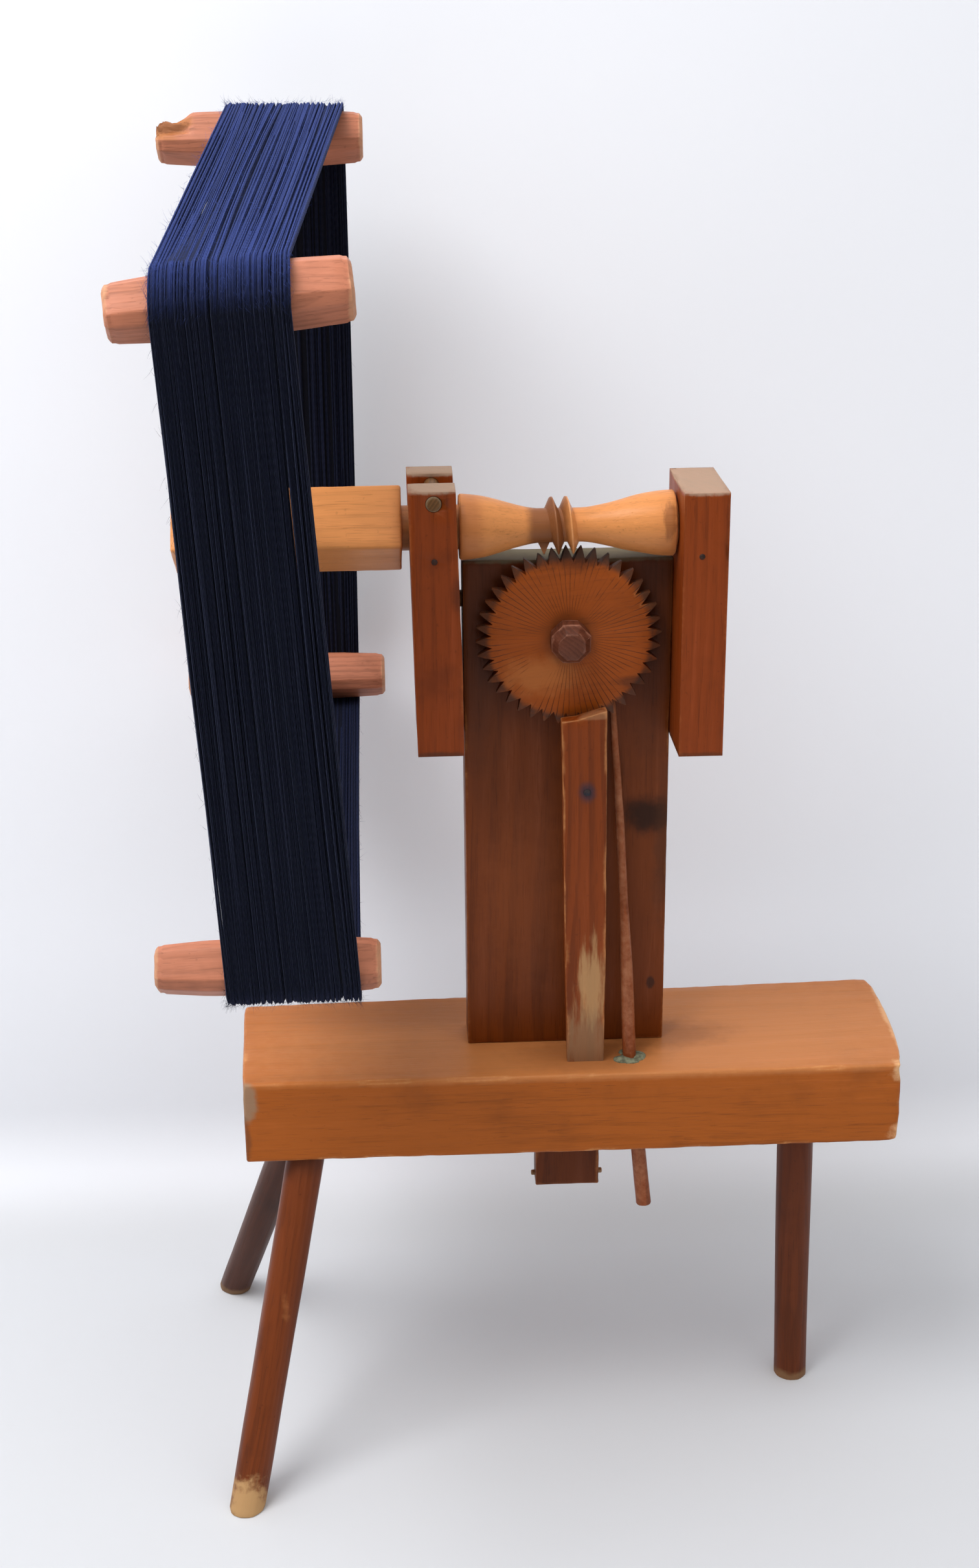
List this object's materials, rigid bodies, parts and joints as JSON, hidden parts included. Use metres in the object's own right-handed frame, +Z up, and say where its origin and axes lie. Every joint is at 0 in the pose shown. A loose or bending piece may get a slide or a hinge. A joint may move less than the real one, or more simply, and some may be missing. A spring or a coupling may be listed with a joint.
{
  "type": "clock reel",
  "caption": "Wooden skein reel on a plank with splayed legs: an open reel on a worm axle turns a toothed counting wheel beside a springy click rod.",
  "frame": {"origin": "on the floor, directly below the axle and midway along the whole object", "axes": "+X along the axle from the reel towards the worm, +Y from front to back, +Z up"},
  "size_m": [0.5436, 0.533, 0.9842],
  "materials": {
    "plank_wood": "old oiled wood, satin, worn pale along its edges",
    "leg_wood": "dark stained wood, satin",
    "post_wood": "old oiled wood, satin, with a scorched stain",
    "support_wood": "red-brown stained wood, satin, grey end grain",
    "axle_wood": "pale hand-turned wood, polished by use",
    "spoke_wood": "turned wood, satin",
    "bar_wood": "pinkish shaved wood, satin",
    "wheel_wood": "orange-brown wood, sooty between the teeth",
    "pin_wood": "dark whittled wood",
    "board_wood": "brown wood, worn pale at the foot",
    "rod_wood": "dark springy wood",
    "peg_wood": "whittled wood",
    "iron_nail": "dark rusted iron",
    "leather": "dark worn leather",
    "packing": "dull grey-green putty",
    "yarn": "navy blue wool yarn, fuzzy"
  },
  "bodies": {
    "frame": {"base_plank": "plank_wood", "leg_front_left": "leg_wood", "leg_back_left": "leg_wood", "leg_right": "leg_wood", "upright_post": "post_wood", "tenon_peg": "peg_wood", "left_support": "support_wood", "right_support": "support_wood", "support_dowels": "peg_wood", "support_nails": "iron_nail", "wheel_pin": "pin_wood", "wheel_washer": "leather", "sounding_board": "board_wood", "board_nail": "iron_nail", "rod_tail": "rod_wood", "rod_packing": "packing"},
    "reel": {"worm_axle": "axle_wood", "axle_hub": "axle_wood", "spoke_top": "spoke_wood", "spoke_front": "spoke_wood", "spoke_bottom": "spoke_wood", "spoke_back": "spoke_wood", "crossbar_top": "bar_wood", "crossbar_front": "bar_wood", "crossbar_bottom": "bar_wood", "crossbar_back": "bar_wood", "skein": "yarn"},
    "counting_wheel": {"wheel": "wheel_wood", "strike_peg": "peg_wood"},
    "click_rod": {"click_rod": "rod_wood"},
    "keeper": {"keeper_pin": "peg_wood"}
  },
  "joints": [
    {"name": "reel_spin", "type": "hinge", "parent": "frame", "child": "reel", "pos_m": [0.019, 0, 0.712], "axis": [1, 0, 0], "continuous": true},
    {"name": "wheel_spin", "type": "hinge", "parent": "frame", "child": "counting_wheel", "pos_m": [0.019, 0, 0.6332], "axis": [0, 1, 0], "continuous": true},
    {"name": "rod_flex", "type": "hinge", "parent": "frame", "child": "click_rod", "pos_m": [0.0645, -0.024, 0.3146], "axis": [0, 1, 0], "range_deg": [0, 2.5], "stiffness_Nm_per_rad": 1},
    {"name": "keeper_draw", "type": "slide", "parent": "frame", "child": "keeper", "axis": [0, -1, 0], "range_m": [0, 0.08]}
  ],
  "couplings": [
    {"joint": "wheel_spin", "follows": "reel_spin", "ratio": -0.025}
  ]
}
